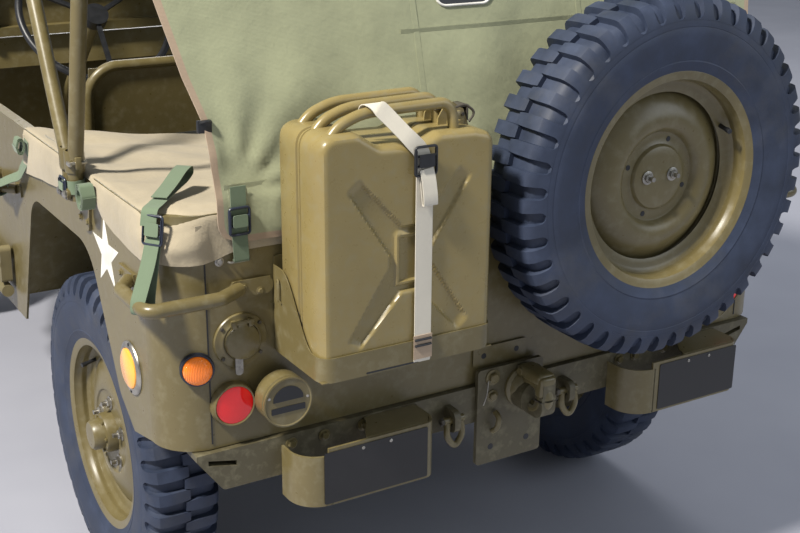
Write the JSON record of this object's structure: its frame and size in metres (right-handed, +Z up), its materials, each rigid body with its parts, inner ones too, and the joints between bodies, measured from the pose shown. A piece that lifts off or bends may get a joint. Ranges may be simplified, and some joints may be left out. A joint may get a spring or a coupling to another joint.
{
  "type": "open 4x4 army car",
  "caption": "Small open four wheel drive army car with canvas top, folding windscreen, rear spare wheel, fuel can, grab handles and towing hook.",
  "frame": {"origin": "on the ground, at the bottom centre of the overall box", "axes": "-Y forwards, +X to the car's left, +Z up"},
  "size_m": [1.575, 3.327, 1.7712],
  "materials": {
    "olive_paint": "semi gloss olive drab",
    "chassis_paint": "matte olive drab",
    "dark_steel": "dull forged steel",
    "bare_steel": "worn",
    "tyre": "matte black",
    "wheel_paint": "semi gloss olive drab",
    "canvas": "khaki canvas",
    "cover_cloth": "light tan cloth",
    "webbing": "woven web",
    "seat_cloth": "canvas",
    "glass": "clear",
    "lamp_parts": "painted lamp bodies",
    "black_plastic": "matte",
    "engine_paint": "matte grey green",
    "wood": "painted ash"
  },
  "bodies": {
    "car": {"chassis_frame": "chassis_paint", "front_bumper": "olive_paint", "rear_bumperettes": "olive_paint", "pintle_hook": "dark_steel", "front_axle": "chassis_paint", "rear_axle": "chassis_paint", "leaf_springs": "chassis_paint", "spare_tyre": "tyre", "spare_wheel": "wheel_paint", "body_side_left": "olive_paint", "body_side_right": "olive_paint", "rear_panel": "olive_paint", "floor_pan": "olive_paint", "wheel_boxes": "olive_paint", "cowl": "olive_paint", "fender_left": "olive_paint", "fender_right": "olive_paint", "grille": "olive_paint", "front_lamps": "lamp_parts", "windscreen_frame": "olive_paint", "windscreen_glass": "glass", "bow_front": "olive_paint", "bow_rear": "olive_paint", "bow_brackets": "olive_paint", "canvas_roof": "canvas", "rear_curtain": "canvas", "cargo_cover": "cover_cloth", "web_straps": "webbing", "grab_handles": "olive_paint", "spare_bracket": "olive_paint", "fuel_can": "olive_paint", "can_tray": "olive_paint", "rear_lamps": "lamp_parts", "trailer_socket": "lamp_parts", "engine_and_gearbox": "engine_paint", "propeller_shafts": "chassis_paint", "radiator": "engine_paint", "exhaust": "dark_steel", "fuel_tank": "olive_paint", "driver_seat_frame": "olive_paint", "driver_cushions": "seat_cloth", "passenger_seat_pivots": "olive_paint", "steering_column": "olive_paint", "pedals_and_levers": "dark_steel", "axe_and_shovel": "wood"},
    "knuckle_left": {"knuckle_left": "chassis_paint"},
    "knuckle_right": {"knuckle_right": "chassis_paint"},
    "tie_rod": {"tie_rod": "chassis_paint"},
    "front_left_wheel": {"tyre_front_left": "tyre", "wheel_front_left": "wheel_paint"},
    "front_right_wheel": {"tyre_front_right": "tyre", "wheel_front_right": "wheel_paint"},
    "rear_left_wheel": {"tyre_rear_left": "tyre", "wheel_rear_left": "wheel_paint"},
    "rear_right_wheel": {"tyre_rear_right": "tyre", "wheel_rear_right": "wheel_paint"},
    "bonnet": {"bonnet": "olive_paint"},
    "passenger_seat": {"passenger_seat_frame": "olive_paint", "passenger_cushions": "seat_cloth"},
    "steering_wheel": {"steering_wheel": "black_plastic"}
  },
  "joints": [
    {"name": "steer_left", "type": "hinge", "parent": "car", "child": "knuckle_left", "pos_m": [0.545, -1.1435, 0.362], "axis": [0, 0, 1], "range_deg": [-24, 24]},
    {"name": "steer_right", "type": "hinge", "parent": "car", "child": "knuckle_right", "pos_m": [-0.545, -1.1435, 0.362], "axis": [0, 0, 1], "range_deg": [-24, 24]},
    {"name": "tie_rod_swing", "type": "hinge", "parent": "knuckle_left", "child": "tie_rod", "pos_m": [0.545, -0.9935, 0.3], "axis": [0, 0, 1], "range_deg": [-24, 24]},
    {"name": "steering_wheel_turn", "type": "hinge", "parent": "car", "child": "steering_wheel", "pos_m": [0.33, -0.06, 1.152], "axis": [0, 0.766, 0.6428], "range_deg": [-336, 336]},
    {"name": "front_left_spin", "type": "hinge", "parent": "knuckle_left", "child": "front_left_wheel", "pos_m": [0.6225, -1.1435, 0.362], "axis": [1, 0, 0], "continuous": true},
    {"name": "front_right_spin", "type": "hinge", "parent": "knuckle_right", "child": "front_right_wheel", "pos_m": [-0.6225, -1.1435, 0.362], "axis": [1, 0, 0], "continuous": true},
    {"name": "rear_left_spin", "type": "hinge", "parent": "car", "child": "rear_left_wheel", "pos_m": [0.6225, 0.8885, 0.362], "axis": [1, 0, 0], "continuous": true},
    {"name": "rear_right_spin", "type": "hinge", "parent": "car", "child": "rear_right_wheel", "pos_m": [-0.6225, 0.8885, 0.362], "axis": [1, 0, 0], "continuous": true},
    {"name": "bonnet_hinge", "type": "hinge", "parent": "car", "child": "bonnet", "pos_m": [0, -0.459, 1.079], "axis": [-1, 0, 0], "range_deg": [0, 80]},
    {"name": "passenger_seat_tip", "type": "hinge", "parent": "car", "child": "passenger_seat", "pos_m": [-0.315, 0.006, 0.795], "axis": [1, 0, 0], "range_deg": [0, 50]}
  ],
  "couplings": [
    {"joint": "steer_right", "follows": "steer_left", "ratio": 1},
    {"joint": "tie_rod_swing", "follows": "steer_left", "ratio": -1},
    {"joint": "steering_wheel_turn", "follows": "steer_left", "ratio": 14}
  ]
}
